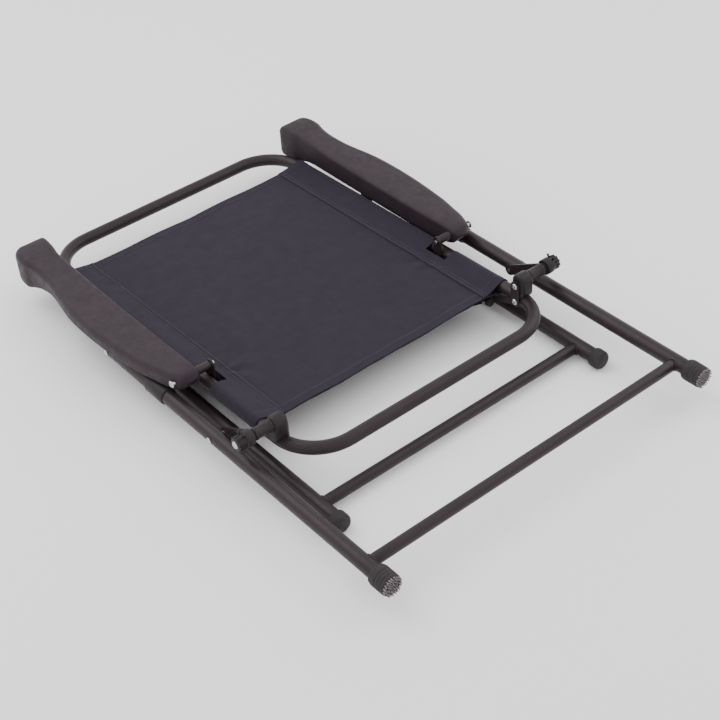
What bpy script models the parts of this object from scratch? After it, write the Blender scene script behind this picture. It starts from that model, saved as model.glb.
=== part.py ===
"""Folding camp rocking chair, lying folded flat on its front legs. Metres, +Z up.

X runs across the chair, Y from the rear feet to the top of the back, Z up from the ground.
Stations along the chair are counted from 9 mm inside the rear feet's faces, and heights in
the design are counted from the rear legs' axes; at() turns both into the part's frame.
"""

import math

import bmesh
import bpy
from mathutils import Matrix, Vector

# Overall
LENGTH = 1.025
FOOT_REACH = 0.009  # rear feet beyond station 0
FRONT_LEG_DROP = 0.038  # front legs' axes below the rear legs' axes
FRONT_FOOT_RADIUS = 0.016
REAR_AXIS_HEIGHT = FRONT_LEG_DROP + FRONT_FOOT_RADIUS
GAP = 0.0003  # between pieces that touch
WALL = 0.0012  # steel tube

# Leg tubes, 25 mm, and crossbars, 19 mm
LEG_RADIUS = 0.0125
BAR_RADIUS = 0.0095
REAR_LEG_X = 0.314
REAR_LEG_END = 0.697
REAR_BAR_STATION = 0.045
FRONT_LEG_X = 0.268
FRONT_LEG_START = 0.152
FRONT_LEG_END = 0.778
FRONT_CAP_RADIUS = 0.0137  # clears the armrest's bracket
FRONT_BAR_STATION = 0.210
REAR_FOOT_RADIUS = 0.0175
REAR_FOOT_LENGTH = 0.033
REAR_LEG_START = -0.005
COLLAR_START, COLLAR_END, COLLAR_RADIUS = 0.527, 0.575, 0.0148

# Back hoop, 22 mm tube
HOOP_RADIUS = 0.011
HOOP_X = 0.251
HOOP_BEND = 0.078
HOOP_START = 0.249
HOOP_TOP = 1.005
HOOP_SPLIT = 0.450  # the two bends meet inside the sling's sleeves
HOOP_START_HEIGHT = 0.010
HOOP_TOP_HEIGHT = -0.008

# Back sling
SLING_START, SLING_END = 0.365, 0.928
NOTCH_START, NOTCH_END = 0.488, 0.536
NOTCH_INNER_X, NOTCH_REACH = 0.229, 0.046
CLOTH = 0.0016
FLAP_WIDTH = 0.050

# Seat, hidden under the back
RAIL_RADIUS = 0.008
RAIL_X = 0.226
RAIL_END = 0.716
SEAT_BAR_STATION = 0.702
SEAT_SLING_START, SEAT_SLING_END = 0.386, 0.688

# Pivots as (station, height)
LINK_PIVOT = (0.400, 0.0)  # swing link on the rear leg
ARM_PIVOT = (0.690, 0.0)  # armrest on the rear leg
BACK_PIVOT = (0.515, 0.031)  # armrest on the back hoop
AXLE_PIVOT = (0.322, 0.044)  # swing link on the back's stub axle
SEAT_PIVOT = (0.378, -0.015)  # seat rail on the back's bracket plate
FRONT_PIVOT = (0.7632, -FRONT_LEG_DROP)  # front leg on the armrest
SEAT_FRONT_PIVOT = (0.650, -0.038)  # seat rail on the front leg
PIN_RADIUS = 0.003
STUD_RADIUS, STUD_INNER_X = 0.006, 0.2366  # seat stud, clear of the seat rail, so the loop is open here
HOLE_RADIUS = 0.0033
RIVET_HEAD = 0.0056

# Ear on the hoop for the armrest's bolt
EAR_X, EAR_THICK, EAR_RADIUS = 0.2362, 0.0034, 0.0085
BOLT_START_X, BOLT_END_X, BOLT_HEAD = 0.2327, 0.3105, 0.0068

# Bracket at the back's lower end
PLATE_X, PLATE_THICK = 0.237, 0.0025
PLATE_STATION = 0.325
PLATE_RADIUS = 0.0095
ARM_RADIUS = 0.0055  # slim arm from the lower rivet to the seat pivot
LOWER_RIVET_HEIGHT, UPPER_RIVET_HEIGHT = 0.005, 0.036
BARREL_RADIUS = 0.0135
BARREL_END_X = 0.264
SLEEVE_RADIUS = 0.0098
SLEEVE_END_X = 0.2957
AXLE_RADIUS = 0.004
AXLE_HOLE = 0.0044
LINK_X, LINK_THICK = 0.2965, 0.003
LINK_WIDTH = 0.018
HUB_START_X, HUB_STEP_X, HUB_END_X = 0.3001, 0.313, 0.328
HUB_RADIUS, HUB_NECK = 0.0135, 0.0115

# Armrests: (station, inner edge, outer edge, foot of the inner skirt, underside, top)
ARM_INNER_X = 0.265
SKIRT_X = 0.2732  # outer face of the skirt
ARM_SECTIONS = (
    (0.499, 0.2650, 0.296, 0.0234, 0.0240, 0.0400),
    (0.506, 0.2650, 0.303, 0.0180, 0.0190, 0.0450),
    (0.530, 0.2650, 0.313, 0.0100, 0.0158, 0.0470),
    (0.560, 0.2650, 0.320, 0.0040, 0.0158, 0.0465),
    (0.600, 0.2650, 0.328, 0.0030, 0.0158, 0.0455),
    (0.690, 0.2650, 0.336, 0.0030, 0.0158, 0.0450),
    (0.780, 0.2650, 0.335, 0.0030, 0.0158, 0.0455),
    (0.860, 0.2650, 0.322, 0.0030, 0.0160, 0.0475),
    (0.905, 0.2650, 0.319, 0.0020, 0.0060, 0.0500),
    (0.930, 0.2646, 0.321, -0.0040, -0.0020, 0.0520),
    (0.950, 0.2612, 0.325, -0.0088, -0.0080, 0.0535),
    (0.980, 0.2585, 0.321, -0.0088, -0.0080, 0.0530),
    (0.993, 0.2585, 0.311, -0.0008, 0.0000, 0.0470),
)
ARM_CORNER = 0.009
SKIRT_CORNER = 0.003
BRACKET_THICK = 0.003
BRACKET_TOP = 0.0152
BRACKET_LENGTH = 0.030
FLANGE_REACH = 0.004

# Mesh fineness
TUBE_SIDES = 16
PIN_SIDES = 10
ARC_STEPS = 5
HOOP_RESOLUTION = 5
CUTTER_MARGIN = 0.004

STEEL = ("powder_coated_steel", (0.045, 0.036, 0.041, 1), 0.38, 0.5)
MOULDED = ("moulded_plastic", (0.063, 0.052, 0.054, 1), 0.5, 0.0)
RUBBER = ("rubber", (0.030, 0.026, 0.028, 1), 0.8, 0.0)
CLOTH_FINISH = ("woven_cloth", (0.055, 0.050, 0.068, 1), 0.85, 0.0)
BRIGHT = ("zinc_plated_steel", (0.72, 0.72, 0.74, 1), 0.28, 1.0)


def at(x, station, height):
    return Vector((x, station + FOOT_REACH - LENGTH / 2, height + REAR_AXIS_HEIGHT))


def hoop_height(station):
    share = (station - HOOP_START) / (HOOP_TOP - HOOP_START)
    return HOOP_START_HEIGHT + share * (HOOP_TOP_HEIGHT - HOOP_START_HEIGHT)


def rail_height(station):
    (start, low), (end, high) = SEAT_PIVOT, SEAT_FRONT_PIVOT
    return low + (high - low) * (station - start) / (end - start)


def clear_scene():
    for obj in list(bpy.data.objects):
        bpy.data.objects.remove(obj, do_unlink=True)


def new_collection(name):
    made = bpy.data.collections.new(name)
    bpy.context.scene.collection.children.link(made)
    return made


def material(finish):
    name, colour, roughness, metallic = finish
    made = bpy.data.materials.new(name)
    made.use_nodes = True
    shader = made.node_tree.nodes["Principled BSDF"]
    shader.inputs["Base Color"].default_value = colour
    shader.inputs["Roughness"].default_value = roughness
    shader.inputs["Metallic"].default_value = metallic
    made.diffuse_color = colour
    return made


def place(name, data, finish=None, matrix=None):
    obj = bpy.data.objects.new(name, data)
    if matrix is not None:
        obj.matrix_world = matrix
    if finish is None:
        CUTTERS.objects.link(obj)
        obj.hide_render = True
        obj.display_type = "WIRE"
    else:
        CHAIR.objects.link(obj)
        data.materials.append(material(finish))
    return obj


def along(start, end):
    """Matrix that puts local Z from start to end, centred between them."""
    turn = (end - start).to_track_quat("Z", "Y").to_matrix().to_4x4()
    return Matrix.Translation((start + end) / 2) @ turn


def cylinder(name, start, end, radius, finish=None, sides=TUBE_SIDES, capped=True):
    mesh = bpy.data.meshes.new(name)
    shape = bmesh.new()
    length = (end - start).length
    bmesh.ops.create_cone(
        shape, cap_ends=capped, segments=sides, radius1=radius, radius2=radius, depth=length
    )
    shape.to_mesh(mesh)
    shape.free()
    return place(name, mesh, finish, along(start, end))


def tube(name, start, end, radius, finish):
    """A straight hollow tube, open at both ends."""
    obj = cylinder(name, start, end, radius, finish, capped=False)
    wall = obj.modifiers.new("wall", "SOLIDIFY")
    wall.thickness = WALL
    wall.offset = -1
    return obj


def cut(obj, cutter):
    step = obj.modifiers.new("cut", "BOOLEAN")
    step.operation = "DIFFERENCE"
    step.object = cutter


def join(obj, other):
    step = obj.modifiers.new("join", "BOOLEAN")
    step.operation = "UNION"
    step.object = other


def cross_hole(obj, pivot, near_x, far_x, radius=HOLE_RADIUS):
    """A hole along X through obj at a pivot."""
    start, end = (at(x, *pivot) for x in sorted((near_x, far_x)))
    reach = Vector((CUTTER_MARGIN, 0, 0))
    cut(obj, cylinder(obj.name + "_hole", start - reach, end + reach, radius, sides=PIN_SIDES))


def turned(name, start, direction, profile, finish, steps=TUBE_SIDES):
    """Turns (radius, distance) points about an axis from start. Points run from the far end back."""
    mesh = bpy.data.meshes.new(name)
    points = [(radius, 0, distance) for radius, distance in profile]
    edges = [(i, i + 1) for i in range(len(points) - 1)]
    if profile[0][0] > 0:
        edges.append((len(points) - 1, 0))
    mesh.from_pydata(points, edges, [])
    turn = direction.to_track_quat("Z", "Y").to_matrix().to_4x4()
    obj = place(name, mesh, finish, Matrix.Translation(start) @ turn)
    screw = obj.modifiers.new("turn", "SCREW")
    screw.axis = "Z"
    screw.steps = steps
    screw.render_steps = steps
    screw.use_merge_vertices = True
    screw.merge_threshold = 0.00001
    return obj


def welded(mesh):
    """The mesh with its doubled points merged and its faces turned outwards."""
    shape = bmesh.new()
    shape.from_mesh(mesh)
    bmesh.ops.remove_doubles(shape, verts=shape.verts, dist=0.000002)
    bmesh.ops.recalc_face_normals(shape, faces=shape.faces)
    shape.to_mesh(mesh)
    shape.free()
    return mesh


def filled_curve(name, outlines, half_depth, matrix, finish):
    """A flat outline with its holes, given thickness, as a mesh object."""
    curve = bpy.data.curves.new(name, "CURVE")
    curve.dimensions = "2D"
    curve.fill_mode = "BOTH"
    curve.extrude = half_depth
    for outline in outlines:
        spline = curve.splines.new("POLY")
        spline.points.add(len(outline) - 1)
        for point, (u, v) in zip(spline.points, outline):
            point.co = (u, v, 0, 1)
        spline.use_cyclic_u = True
    guide = bpy.data.objects.new(name + "_outline", curve)
    CHAIR.objects.link(guide)
    bpy.context.view_layer.update()
    graph = bpy.context.evaluated_depsgraph_get()
    mesh = bpy.data.meshes.new_from_object(guide.evaluated_get(graph))
    bpy.data.objects.remove(guide, do_unlink=True)
    mesh.name = name
    return place(name, welded(mesh), finish, matrix)


def arc(centre, radius, start_deg, end_deg, steps):
    points = []
    for i in range(steps + 1):
        angle = math.radians(start_deg + (end_deg - start_deg) * i / steps)
        points.append((centre[0] + radius * math.cos(angle), centre[1] + radius * math.sin(angle)))
    return points


def circle(centre, radius, sides=PIN_SIDES):
    return arc(centre, radius, 0, 360, sides)[:-1]


def bar_outline(first, second, radius):
    """A flat bar with round ends about two points."""
    lean = math.degrees(math.atan2(second[1] - first[1], second[0] - first[0]))
    return arc(first, radius, lean + 90, lean + 270, 8) + arc(second, radius, lean - 90, lean + 90, 8)


def side_plate(name, outlines, near_x, far_x, finish):
    """Outlines of (station, height) given thickness along X."""
    turn = Matrix(((0, 0, 1, 0), (1, 0, 0, 0), (0, 1, 0, 0), (0, 0, 0, 1)))
    middle = at((near_x + far_x) / 2, 0, 0)
    return filled_curve(name, outlines, abs(far_x - near_x) / 2, Matrix.Translation(middle) @ turn, finish)


def rivet(name, side, pivot, tail_x, head_x):
    """A rivet along X, its domed head at head_x and its rolled tail at tail_x."""
    outward = 1 if abs(head_x) > abs(tail_x) else -1
    length = abs(head_x - tail_x)
    dome = [(0, length + 0.0022), (RIVET_HEAD * 0.5, length + 0.0019), (RIVET_HEAD * 0.87, length + 0.0011)]
    dome.append((RIVET_HEAD, length))
    profile = dome + [(PIN_RADIUS, length)]
    profile += [(PIN_RADIUS, 0), (RIVET_HEAD * 0.8, 0), (RIVET_HEAD * 0.7, -0.0016), (0, -0.0018)]
    return turned(name, at(side * tail_x, *pivot), Vector((side * outward, 0, 0)), profile, BRIGHT, PIN_SIDES)


def leg_frame(prefix, leg_x, drop, start, end, bar_station, holes):
    """Two leg tubes with a crossbar saddled between them."""
    bar = tube(
        prefix + "_crossbar",
        at(-leg_x, bar_station, -drop),
        at(leg_x, bar_station, -drop),
        BAR_RADIUS,
        STEEL,
    )
    for side, hand in SIDES:
        first, last = at(side * leg_x, start, -drop), at(side * leg_x, end, -drop)
        leg = tube(f"{prefix}_leg_{hand}", first, last, LEG_RADIUS, STEEL)
        reach = Vector((0, CUTTER_MARGIN, 0))
        saddle = cylinder(f"{prefix}_saddle_{hand}", first - reach, last + reach, LEG_RADIUS + GAP)
        cut(bar, saddle)
        for pivot in holes:
            cross_hole(leg, pivot, side * (leg_x - LEG_RADIUS), side * (leg_x + LEG_RADIUS))


def rear_legs():
    leg_frame(
        "rear", REAR_LEG_X, 0, REAR_LEG_START, REAR_LEG_END, REAR_BAR_STATION,
        (LINK_PIVOT, ARM_PIVOT),
    )
    toward_foot = Vector((0, -1, 0))
    inside = LEG_RADIUS + GAP
    for side, hand in SIDES:
        foot = [(0, 0), (REAR_FOOT_RADIUS - 0.001, 0), (REAR_FOOT_RADIUS, -0.001)]
        foot += [(REAR_FOOT_RADIUS, -0.016), (REAR_FOOT_RADIUS - 0.0015, -REAR_FOOT_LENGTH)]
        foot += [(inside, -REAR_FOOT_LENGTH), (inside, -0.0037), (0, -0.0037)]
        turned(f"rear_foot_{hand}", at(side * REAR_LEG_X, -FOOT_REACH, 0), toward_foot, foot, RUBBER)
        length = COLLAR_END - COLLAR_START
        ring = [(inside, length), (COLLAR_RADIUS - 0.0008, length), (COLLAR_RADIUS, length - 0.0012)]
        ring += [(COLLAR_RADIUS, 0.0012), (COLLAR_RADIUS - 0.0008, 0), (inside, 0)]
        turned(f"leg_collar_{hand}", at(side * REAR_LEG_X, COLLAR_START, 0), -toward_foot, ring, MOULDED)
        outside = REAR_LEG_X + LEG_RADIUS + GAP
        rivet(f"link_pin_{hand}", side, LINK_PIVOT, LINK_X - GAP, outside)
        rivet(f"armrest_pin_{hand}", side, ARM_PIVOT, LINK_X - GAP, outside)


def front_legs():
    leg_frame(
        "front", FRONT_LEG_X, FRONT_LEG_DROP, FRONT_LEG_START + 0.004, FRONT_LEG_END,
        FRONT_BAR_STATION, (FRONT_PIVOT, (SEAT_FRONT_PIVOT[0], -FRONT_LEG_DROP)),
    )
    inside = LEG_RADIUS + GAP
    ends = (
        ("foot", FRONT_LEG_START, -1, FRONT_FOOT_RADIUS, 0.022, 0.005),
        ("leg_cap", FRONT_LEG_END + 0.004, 1, FRONT_CAP_RADIUS, 0.012, 0.0025),
    )
    for side, hand in SIDES:
        for name, station, way, radius, length, bevel in ends:
            face = at(side * FRONT_LEG_X, station, -FRONT_LEG_DROP)
            shell = [(0, 0), (radius - bevel, -bevel / 4), (radius - bevel / 3, -bevel / 2), (radius, -bevel)]
            shell += [(radius, -length), (inside, -length), (inside, -0.0037), (0, -0.0037)]
            turned(f"front_{name}_{hand}", face, Vector((0, way, 0)), shell, RUBBER)
        inner, outer = FRONT_LEG_X - LEG_RADIUS - GAP, FRONT_LEG_X + LEG_RADIUS
        rivet(f"front_leg_pin_{hand}", side, FRONT_PIVOT, inner, 0.2857)
        stud = outer + GAP - STUD_INNER_X
        shoulder = inner - STUD_INNER_X
        pin = [(0, stud + 0.002), (RIVET_HEAD, stud), (PIN_RADIUS, stud), (PIN_RADIUS, shoulder)]
        pin += [(STUD_RADIUS, shoulder), (STUD_RADIUS, 0), (0, 0)]
        start = at(side * STUD_INNER_X, SEAT_FRONT_PIVOT[0], -FRONT_LEG_DROP)
        turned(f"seat_front_pin_{hand}", start, Vector((side, 0, 0)), pin, BRIGHT, PIN_SIDES)


def hoop_bend(name, end_station, split_station, radius=HOOP_RADIUS, capped=False):
    """One U of the hoop: from the split, round the two bends, and back."""
    inward = 1 if end_station < split_station else -1
    corner = end_station + inward * HOOP_BEND
    flat = [(-HOOP_X, split_station)]
    for centre_x, turn in ((-(HOOP_X - HOOP_BEND), (180, 270)), (HOOP_X - HOOP_BEND, (270, 360))):
        for x, y in arc((centre_x, 0), HOOP_BEND, turn[0], turn[1], ARC_STEPS):
            flat.append((x, corner + inward * y))
    flat.append((HOOP_X, split_station))
    curve = bpy.data.curves.new(name, "CURVE")
    curve.dimensions = "3D"
    curve.bevel_depth = radius
    curve.bevel_resolution = HOOP_RESOLUTION
    curve.use_fill_caps = capped
    spline = curve.splines.new("POLY")
    spline.points.add(len(flat) - 1)
    for point, (x, station) in zip(spline.points, flat):
        point.co = (*at(x, station, hoop_height(station)), 1)
    guide = bpy.data.objects.new(name + "_line", curve)
    CHAIR.objects.link(guide)
    bpy.context.view_layer.update()
    graph = bpy.context.evaluated_depsgraph_get()
    mesh = bpy.data.meshes.new_from_object(guide.evaluated_get(graph))
    bpy.data.objects.remove(guide, do_unlink=True)
    if capped:
        return place(name, welded(mesh))
    obj = place(name, mesh, STEEL)
    wall = obj.modifiers.new("wall", "SOLIDIFY")
    wall.thickness = WALL
    wall.offset = -1
    return obj


def sleeve_outline(tube_x, tube_radius, flap):
    """Cross-section of a sling: a thin panel whose two edges close round the tubes, with its holes."""
    outer = tube_radius + GAP + CLOTH
    half = CLOTH
    left = arc((-tube_x, 0), outer, 75, 285, 10)
    right = arc((tube_x, 0), outer, -105, 105, 10)
    slope = tube_x - flap
    outline = left + [(-slope, -half), (slope, -half)] + right + [(slope, half), (-slope, half)]
    holes = [circle((side * tube_x, 0), tube_radius + GAP, 20) for side in (-1, 1)]
    return [outline] + holes


def sling(name, outlines, start, end, height_of):
    """A sling's cross-section drawn out between two stations."""
    first, last = at(0, start, height_of(start)), at(0, end, height_of(end))
    run = (last - first).normalized()
    across = Vector((1, 0, 0))
    up = across.cross(run)
    turn = Matrix((across, up, -run)).transposed().to_4x4()
    centre = Matrix.Translation((first + last) / 2)
    return filled_curve(name, outlines, (last - first).length / 2, centre @ turn, CLOTH_FINISH)


def box(name, low, high, finish=None):
    mesh = bpy.data.meshes.new(name)
    shape = bmesh.new()
    bmesh.ops.create_cube(shape, size=1)
    bmesh.ops.scale(shape, vec=high - low, verts=shape.verts)
    bmesh.ops.translate(shape, vec=(low + high) / 2, verts=shape.verts)
    shape.to_mesh(mesh)
    shape.free()
    return place(name, mesh, finish)


def back():
    hoop_bend("back_hoop_lower", HOOP_START, HOOP_SPLIT - GAP)
    hoop_bend("back_hoop_upper", HOOP_TOP, HOOP_SPLIT + GAP)
    hoop_room = hoop_bend("hoop_room", HOOP_START, HOOP_SPLIT, HOOP_RADIUS + GAP, capped=True)
    outlines = sleeve_outline(HOOP_X, HOOP_RADIUS, FLAP_WIDTH)
    cloth = sling("back_sling", outlines, SLING_START, SLING_END, hoop_height)
    for side, hand in SIDES:
        middle = at(side * (NOTCH_INNER_X + NOTCH_REACH / 2), (NOTCH_START + NOTCH_END) / 2, 0)
        half = Vector((NOTCH_REACH / 2, (NOTCH_END - NOTCH_START) / 2, 0.030))
        cut(cloth, box(f"sling_notch_{hand}", middle - half, middle + half))
        hinge_ear(side, hand)
        axle_stack(side, hand, hoop_room)


def hinge_ear(side, hand):
    """The ear that stands on the hoop inside the sling's notch and takes the armrest's bolt."""
    foot = (BACK_PIVOT[0], hoop_height(BACK_PIVOT[0]) + 0.004)
    inner, outer = side * EAR_X, side * (EAR_X + EAR_THICK)
    outlines = [bar_outline(foot, BACK_PIVOT, EAR_RADIUS), circle(BACK_PIVOT, AXLE_HOLE)]
    side_plate(f"back_ear_{hand}", outlines, inner, outer, STEEL)


def axle_stack(side, hand, hoop_room):
    """Bracket plate, barrel, sleeve and stub axle at the hoop's lower end."""
    plate_far = PLATE_X + PLATE_THICK
    rivets = {"lower": LOWER_RIVET_HEIGHT, "upper": UPPER_RIVET_HEIGHT}
    lower, upper = ((PLATE_STATION, height) for height in rivets.values())
    edges = side * PLATE_X, side * plate_far
    plate = side_plate(f"bracket_plate_{hand}", [bar_outline(lower, upper, PLATE_RADIUS)], *edges, STEEL)
    join(plate, side_plate(f"bracket_arm_{hand}", [bar_outline(SEAT_PIVOT, lower, ARM_RADIUS)], *edges, None))
    for pivot in (lower, upper, SEAT_PIVOT):
        cross_hole(plate, pivot, *edges)
    cut(plate, hoop_room)
    for place_name, height in rivets.items():
        tip = side * (plate_far - 0.0004)
        head = side * (PLATE_X - GAP)
        profile = [(0, 0.0022), (0.003, 0.0019), (RIVET_HEAD, 0), (PIN_RADIUS, 0)]
        profile += [(PIN_RADIUS, -abs(tip - head)), (0, -abs(tip - head))]
        start = at(head, PLATE_STATION, height)
        turned(f"bracket_rivet_{place_name}_{hand}", start, Vector((-side, 0, 0)), profile, BRIGHT, PIN_SIDES)

    barrel_start = side * (plate_far + GAP)
    saddle_foot = (AXLE_PIVOT[0], 0.024)
    outlines = [bar_outline(saddle_foot, AXLE_PIVOT, BARREL_RADIUS), circle(AXLE_PIVOT, AXLE_HOLE)]
    barrel = side_plate(f"axle_barrel_{hand}", outlines, barrel_start, side * BARREL_END_X, MOULDED)
    cut(barrel, hoop_room)

    outward = Vector((side, 0, 0))
    length = SLEEVE_END_X - BARREL_END_X - GAP
    sleeve = [(AXLE_HOLE, length), (SLEEVE_RADIUS, length), (SLEEVE_RADIUS + 0.001, 0), (AXLE_HOLE, 0)]
    turned(f"axle_sleeve_{hand}", at(side * (BARREL_END_X + GAP), *AXLE_PIVOT), outward, sleeve, MOULDED, 16)

    start_x = plate_far + 2 * GAP
    reach = SLEEVE_END_X - GAP - start_x
    axle = [(0, reach), (AXLE_RADIUS, reach), (AXLE_RADIUS, 0), (0, 0)]
    turned(f"stub_axle_{hand}", at(side * start_x, *AXLE_PIVOT), outward, axle, BRIGHT, PIN_SIDES)


def swing_links():
    """Flat links from the rear legs to the hubs. The hubs face the back's stub axles across a clear gap."""
    step, end = HUB_STEP_X - HUB_START_X, HUB_END_X - HUB_START_X
    hub = [(AXLE_HOLE, end), (HUB_NECK, end), (HUB_NECK, step), (HUB_RADIUS, step), (HUB_RADIUS, 0)]
    hub += [(AXLE_HOLE, 0)]
    reach = HUB_END_X + GAP - LINK_X
    pin = [(0, reach + 0.0022), (0.0045, reach + 0.0016), (0.0066, reach), (AXLE_RADIUS, reach)]
    pin += [(AXLE_RADIUS, 0), (0, 0)]
    for side, hand in SIDES:
        outward = Vector((side, 0, 0))
        turned(f"link_hub_{hand}", at(side * HUB_START_X, *AXLE_PIVOT), outward, hub, MOULDED, TUBE_SIDES)
        turned(f"hub_rivet_{hand}", at(side * LINK_X, *AXLE_PIVOT), outward, pin, BRIGHT, PIN_SIDES)
        outlines = [
            bar_outline(LINK_PIVOT, AXLE_PIVOT, LINK_WIDTH / 2),
            circle(LINK_PIVOT, HOLE_RADIUS),
            circle(AXLE_PIVOT, AXLE_HOLE),
        ]
        side_plate(f"swing_link_{hand}", outlines, side * LINK_X, side * (LINK_X + LINK_THICK), STEEL)


def through(table, station, column):
    """A smooth value at a station from a table's rows, by cubic Hermite steps."""
    for i in range(len(table) - 1):
        if table[i][0] <= station <= table[i + 1][0]:
            break
    before, after = table[max(i - 1, 0)], table[min(i + 2, len(table) - 1)]
    first, second = table[i], table[i + 1]
    span = second[0] - first[0]
    t = (station - first[0]) / span
    tangent_a = (second[column] - before[column]) / (second[0] - before[0]) * span
    tangent_b = (after[column] - first[column]) / (after[0] - first[0]) * span
    rise = second[column] - first[column]
    if rise == 0:
        tangent_a = tangent_b = 0
    cubic = t * t * (3 - 2 * t)
    return first[column] + rise * cubic + tangent_a * t * (1 - t) ** 2 - tangent_b * t * t * (1 - t)


def armrest_ring(station):
    """Section of an armrest at a station, as (x, height) points, with its inner skirt."""
    inner, outer, foot, low, high = (through(ARM_SECTIONS, station, column) for column in range(1, 6))
    corner = min(ARM_CORNER, (high - low) * 0.45)
    heel = min(SKIRT_CORNER, (high - foot) * 0.2)
    points = arc((outer - corner, high - corner), corner, 0, 90, 3)
    points += arc((inner + corner, high - corner), corner, 90, 180, 3)
    points += arc((inner + heel, foot + heel), heel, 180, 270, 2)
    points += [(SKIRT_X, foot), (SKIRT_X, low)]
    return points + arc((outer - corner, low + corner), corner, 270, 360, 3)


def armrest(side, hand):
    mesh = bpy.data.meshes.new(f"armrest_{hand}")
    shape = bmesh.new()
    stations = []
    for row, following in zip(ARM_SECTIONS, ARM_SECTIONS[1:]):
        parts = max(1, round((following[0] - row[0]) / 0.035))
        stations += [row[0] + (following[0] - row[0]) * i / parts for i in range(parts)]
    stations.append(ARM_SECTIONS[-1][0])
    rings = []
    for station in stations:
        rings.append([shape.verts.new(at(side * x, station, z)) for x, z in armrest_ring(station)])
    for ring, following in zip(rings, rings[1:]):
        for i in range(len(ring)):
            j = (i + 1) % len(ring)
            shape.faces.new((ring[i], ring[j], following[j], following[i]))
    shape.faces.new(rings[0])
    shape.faces.new(rings[-1])
    bmesh.ops.recalc_face_normals(shape, faces=shape.faces)
    shape.to_mesh(mesh)
    shape.free()
    obj = place(f"armrest_{hand}", mesh, MOULDED)
    cross_hole(obj, BACK_PIVOT, side * ARM_INNER_X, side * 0.330, AXLE_HOLE)
    return obj


def angle_bracket(name, side, pivot, plate_x, flange_x, low):
    """A plate down from the armrest's underside to a pivot, with a flange under the armrest."""
    inner, outer = sorted((side * plate_x, side * (plate_x + BRACKET_THICK)))
    first, last = pivot[0] - BRACKET_LENGTH / 2, pivot[0] + BRACKET_LENGTH / 2
    plate = box(name, at(inner, first, low), at(outer, last, BRACKET_TOP), STEEL)
    near, far = sorted((side * flange_x, side * (plate_x + 0.001)))
    flange_low = at(near, first - FLANGE_REACH, BRACKET_TOP - BRACKET_THICK)
    join(plate, box(name + "_flange", flange_low, at(far, last + FLANGE_REACH, BRACKET_TOP)))
    cross_hole(plate, pivot, side * plate_x, side * (plate_x + BRACKET_THICK))


def armrests():
    for side, hand in SIDES:
        armrest(side, hand)
        angle_bracket(f"armrest_rear_bracket_{hand}", side, ARM_PIVOT, LINK_X + 0.0003, 0.274, -0.012)
        angle_bracket(f"armrest_front_bracket_{hand}", side, FRONT_PIVOT, 0.2822, 0.325, -0.050)
        end = BOLT_END_X - BOLT_START_X
        bolt = [(0, end + 0.003), (0.0045, end + 0.0026), (BOLT_HEAD, end + 0.0004), (BOLT_HEAD, end)]
        bolt += [(AXLE_RADIUS, end), (AXLE_RADIUS, 0.0032), (BOLT_HEAD, 0.0032), (BOLT_HEAD, 0), (0, 0)]
        start = at(side * BOLT_START_X, *BACK_PIVOT)
        turned(f"armrest_bolt_{hand}", start, Vector((side, 0, 0)), bolt, BRIGHT, PIN_SIDES)


def seat():
    def rail_point(x, station):
        return at(x, station, rail_height(station))

    bar_ends = (rail_point(x, SEAT_BAR_STATION) for x in (-RAIL_X, RAIL_X))
    front_bar = tube("seat_front_bar", *bar_ends, RAIL_RADIUS, STEEL)
    for side, hand in SIDES:
        ends = (SEAT_PIVOT[0] - RAIL_RADIUS, RAIL_END)
        first, last = (rail_point(side * RAIL_X, station) for station in ends)
        rail = tube(f"seat_rail_{hand}", first, last, RAIL_RADIUS, STEEL)
        saddle = cylinder(f"seat_saddle_{hand}", first, last, RAIL_RADIUS + GAP)
        cut(front_bar, saddle)
        cross_hole(rail, SEAT_PIVOT, side * (RAIL_X - RAIL_RADIUS), side * (RAIL_X + RAIL_RADIUS))
        inner, outer = RAIL_X - RAIL_RADIUS - GAP, PLATE_X + PLATE_THICK + GAP
        rivet(f"seat_rear_pin_{hand}", side, SEAT_PIVOT, inner, outer)
    outlines = sleeve_outline(RAIL_X, RAIL_RADIUS, 0.030)
    sling("seat_sling", outlines, SEAT_SLING_START, SEAT_SLING_END, rail_height)


SIDES = ((-1, "left"), (1, "right"))
clear_scene()
CHAIR = new_collection("camp_rocking_chair")
CUTTERS = new_collection("cutters")
rear_legs()
front_legs()
back()
swing_links()
armrests()
seat()
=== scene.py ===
"""Camp rocking chair, folded flat: finished pieces, cloth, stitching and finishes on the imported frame.

Metres, in the frame's own axes: X across the chair, Y from the rear feet to the top of the back,
Z up. Stations are counted along Y from 9 mm inside the rear feet's faces, heights from the rear legs' axes.
"""

import math

import bmesh
import bpy
from mathutils import Matrix, Vector, noise


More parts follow.
